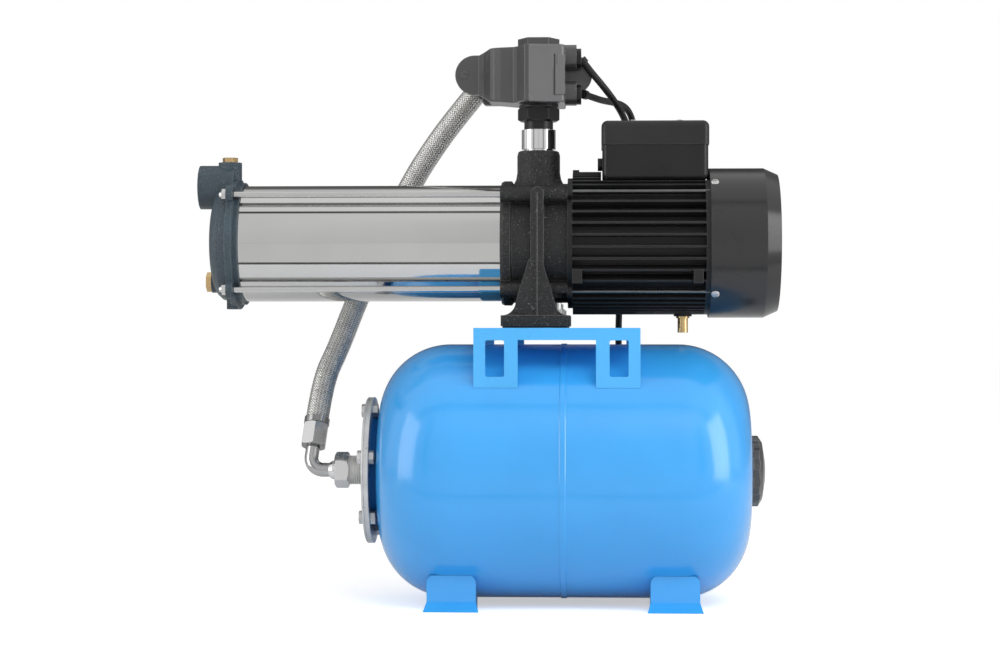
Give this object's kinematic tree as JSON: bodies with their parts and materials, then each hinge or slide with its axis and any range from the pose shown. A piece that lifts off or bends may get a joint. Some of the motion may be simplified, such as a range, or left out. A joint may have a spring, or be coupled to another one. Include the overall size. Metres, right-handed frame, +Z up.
{
  "type": "booster pump station",
  "caption": "Horizontal multistage pump and finned motor on a horizontal pressure tank, with a pressure controller on the outlet and a braided hose down to the tank.",
  "frame": {"origin": "on the floor under the middle of the tank, at the centre of the four foot holes", "axes": "+X along the shaft towards the fan, +Y away from the side with the bracket's seen face, +Z up"},
  "size_m": [0.6405, 0.4368, 0.6245],
  "materials": {
    "tank_blue": "gloss enamel on smooth drawn steel",
    "bracket_blue": "satin enamel",
    "zinc": "galvanised, lightly spangled",
    "stainless": "polished",
    "cast_black": "fine sand cast, satin black",
    "cast_grey": "fine grain, satin dark grey",
    "brass": "turned",
    "chrome": "plated",
    "motor_black": "satin black",
    "black_plastic": "fine texture",
    "grey_plastic": "satin dark grey",
    "hood_grey": "semi gloss",
    "rubber": "soft black",
    "braid": "woven stainless wire",
    "core_steel": "laminated",
    "copper": "varnished windings",
    "board_green": "lacquered board",
    "capacitor_white": "smooth"
  },
  "bodies": {
    "station": {"tank_shell": "tank_blue", "tank_bladder": "rubber", "tank_flange": "zinc", "clamp_ring": "zinc", "flange_bolts": "zinc", "air_valve": "zinc", "tank_foot_front_left": "tank_blue", "tank_foot_front_right": "tank_blue", "tank_foot_back_left": "tank_blue", "tank_foot_back_right": "tank_blue", "pump_saddle": "bracket_blue", "foot_pad": "motor_black", "foot_bolts": "zinc", "discharge_casing": "cast_black", "suction_cover": "cast_grey", "pump_barrel": "stainless", "barrel_seals": "rubber", "pump_tie_rods": "stainless", "stage_housings": "stainless", "seal_seat": "stainless", "front_shield": "motor_black", "rear_shield": "motor_black", "shaft_bearings": "core_steel", "motor_frame": "motor_black", "stator_core": "core_steel", "stator_windings": "copper", "motor_screws": "zinc", "fan_cover": "hood_grey", "terminal_box": "black_plastic", "terminal_box_lid": "grey_plastic", "run_capacitor": "capacitor_white", "cover_screws": "zinc", "drain_stub": "brass", "outlet_nipple": "chrome", "union_nut": "black_plastic", "controller_body": "grey_plastic", "controller_cover": "grey_plastic", "controller_board": "board_green", "valve_spring": "stainless", "braided_hose": "braid", "hose_ends": "chrome", "tank_elbow": "chrome", "controller_elbow": "brass", "motor_lead": "rubber", "mains_lead": "rubber", "mains_coil": "rubber", "mains_plug": "black_plastic", "cable_glands": "black_plastic"},
    "rotor": {"rotor_shaft": "stainless", "rotor_core": "core_steel", "impellers": "black_plastic", "impeller_nut": "stainless", "seal_head": "rubber", "cooling_fan": "black_plastic"},
    "check_valve": {"check_valve": "stainless"},
    "reset_button": {"reset_button": "grey_plastic"},
    "priming_plug": {"priming_plug": "brass"},
    "drain_plug": {"drain_plug": "brass"},
    "air_valve_cap": {"air_valve_cap": "grey_plastic"},
    "air_valve_pin": {"air_valve_pin": "brass"}
  },
  "joints": [
    {"name": "rotor_spin", "type": "hinge", "parent": "station", "child": "rotor", "pos_m": [0, 0, 0.398], "axis": [1, 0, 0], "continuous": true},
    {"name": "check_valve_lift", "type": "slide", "parent": "station", "child": "check_valve", "axis": [0, 0, 1], "range_m": [0, 0.008], "stiffness_N_per_m": 120, "springref_m": -0.006, "deforming": ["valve_spring"]},
    {"name": "reset_button_press", "type": "slide", "parent": "station", "child": "reset_button", "axis": [0, -1, 0], "range_m": [0, 0.002], "stiffness_N_per_m": 900, "springref_m": -0.001},
    {"name": "air_valve_pin_press", "type": "slide", "parent": "station", "child": "air_valve_pin", "axis": [-1, 0, 0], "range_m": [0, 0.002], "stiffness_N_per_m": 900, "springref_m": -0.001},
    {"name": "priming_plug_lift", "type": "slide", "parent": "station", "child": "priming_plug", "axis": [0, 0, 1], "range_m": [0, 0.022]},
    {"name": "drain_plug_pull", "type": "slide", "parent": "station", "child": "drain_plug", "axis": [-1, 0, 0], "range_m": [0, 0.022]},
    {"name": "air_valve_cap_pull", "type": "slide", "parent": "station", "child": "air_valve_cap", "axis": [1, 0, 0], "range_m": [0, 0.03]}
  ]
}
